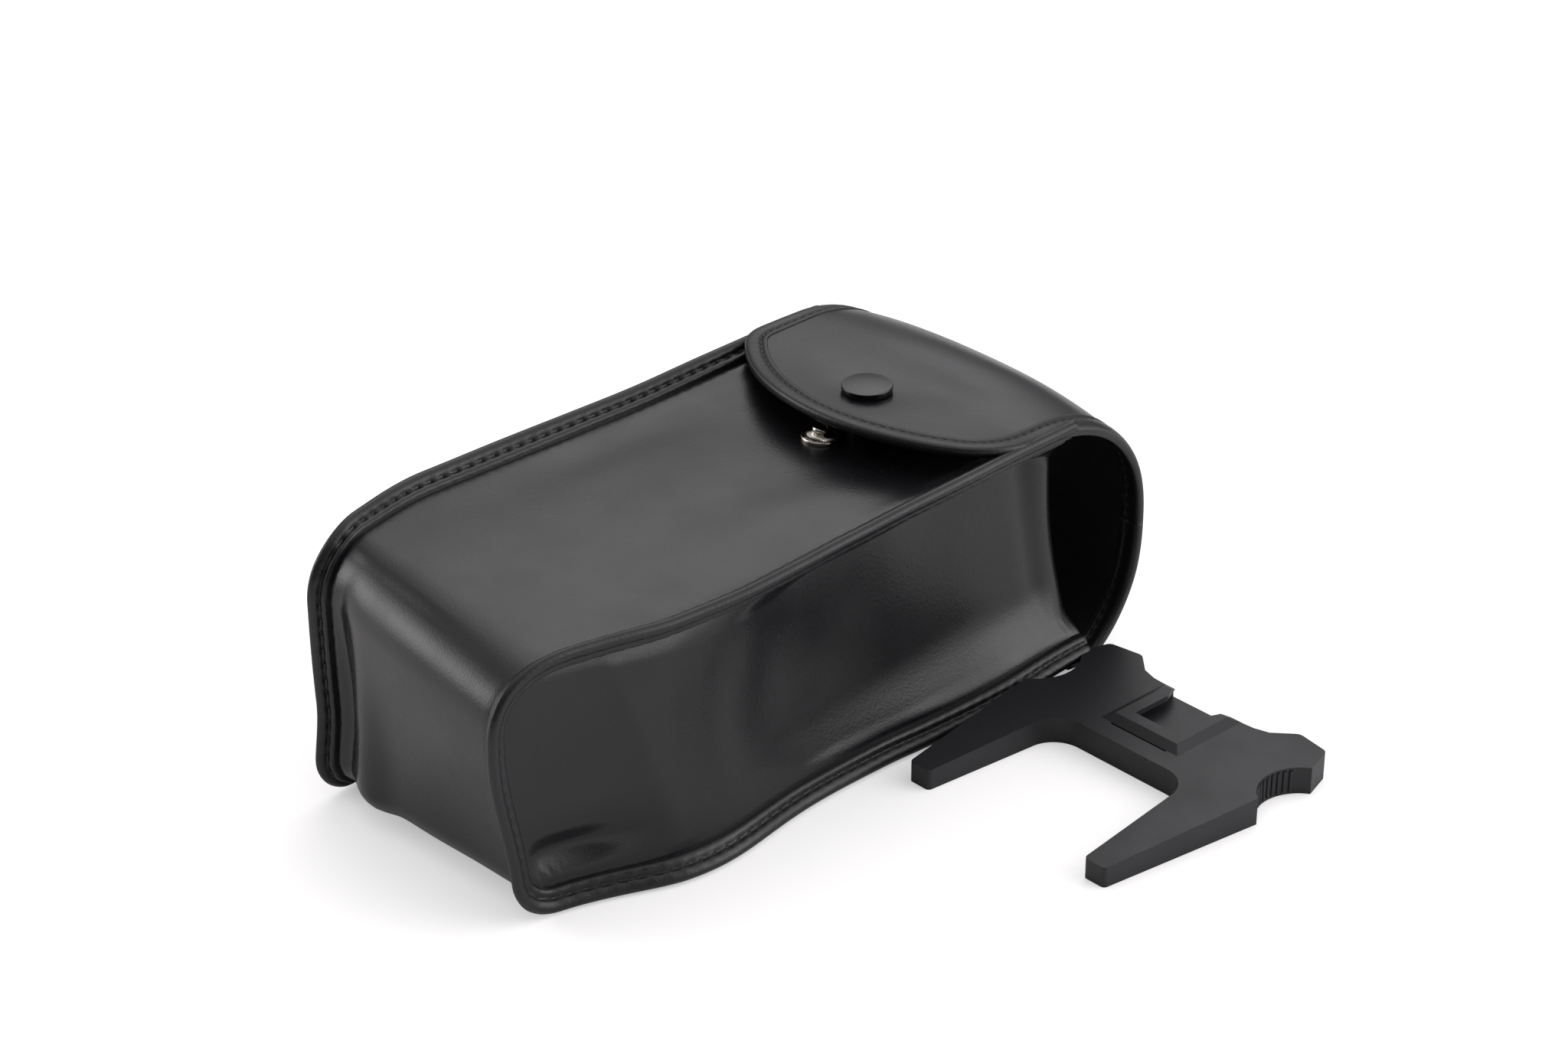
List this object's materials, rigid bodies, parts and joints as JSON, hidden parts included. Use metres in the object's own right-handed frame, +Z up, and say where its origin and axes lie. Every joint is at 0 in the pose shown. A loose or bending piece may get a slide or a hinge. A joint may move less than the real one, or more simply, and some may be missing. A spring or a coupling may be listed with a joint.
{
  "type": "flash case with stand",
  "caption": "Soft leatherette case with a snap-closed flap for a shoe-mount camera flash, and the small shoe stand that is carried with it.",
  "frame": {"origin": "centre of the flat underside of the belt loop, in the middle of the case's back, on the surface the case lies on", "axes": "+Z up from the surface, +X along the case from its closed end to its mouth, -Y towards the stand that lies beside it"},
  "size_m": [0.1977, 0.1686, 0.0735],
  "materials": {
    "leatherette": "smooth semi-gloss coated cloth with a very fine grain",
    "flap_lining": "soft matt coated cloth",
    "binding": "semi-gloss folded tape",
    "thread": "twisted bonded thread",
    "lining": "brushed knit",
    "board": "fibre board",
    "foam": "closed-cell foam",
    "nickel": "bright nickel plate",
    "spring_wire": "drawn wire",
    "black_enamel": "gloss black enamel",
    "abs_black": "fine-textured moulded plastic",
    "brass": "turned"
  },
  "bodies": {
    "pouch": {"outer_strip": "leatherette", "left_gusset": "leatherette", "right_gusset": "leatherette", "front_board": "board", "back_board": "board", "end_pad": "foam", "strip_lining": "lining", "left_lining": "lining", "right_lining": "lining", "left_binding": "binding", "right_binding": "binding", "left_seam_thread": "thread", "right_seam_thread": "thread", "mouth_facing": "leatherette", "belt_loop": "leatherette", "belt_loop_thread": "thread", "inner_pocket": "lining", "pocket_hem": "binding", "snap_stud": "nickel", "stud_eyelet": "nickel"},
    "flap_riser": {"riser_skin": "leatherette", "riser_lining": "flap_lining", "riser_left_binding": "binding", "riser_right_binding": "binding", "riser_thread": "thread"},
    "flap_tongue": {"tongue_skin": "leatherette", "tongue_lining": "flap_lining", "tongue_binding": "binding", "tongue_thread": "thread", "snap_cap": "black_enamel", "snap_socket": "nickel", "socket_ring_spring": "spring_wire"},
    "stand": {"stand_body": "abs_black", "tripod_insert": "brass"}
  },
  "joints": [
    {"name": "flap_lift", "type": "hinge", "parent": "pouch", "child": "flap_riser", "pos_m": [0.09065, 0, 0.00378], "axis": [0, 1, 0], "range_deg": [0, 70]},
    {"name": "flap_curl", "type": "hinge", "parent": "flap_riser", "child": "flap_tongue", "pos_m": [0.0951, 0, 0.06218], "axis": [0, 1, 0], "range_deg": [0, 90]},
    {"name": "stand_slide", "type": "slide", "parent": "pouch", "child": "stand", "axis": [0, -1, 0], "range_m": [0, 0.08]}
  ]
}
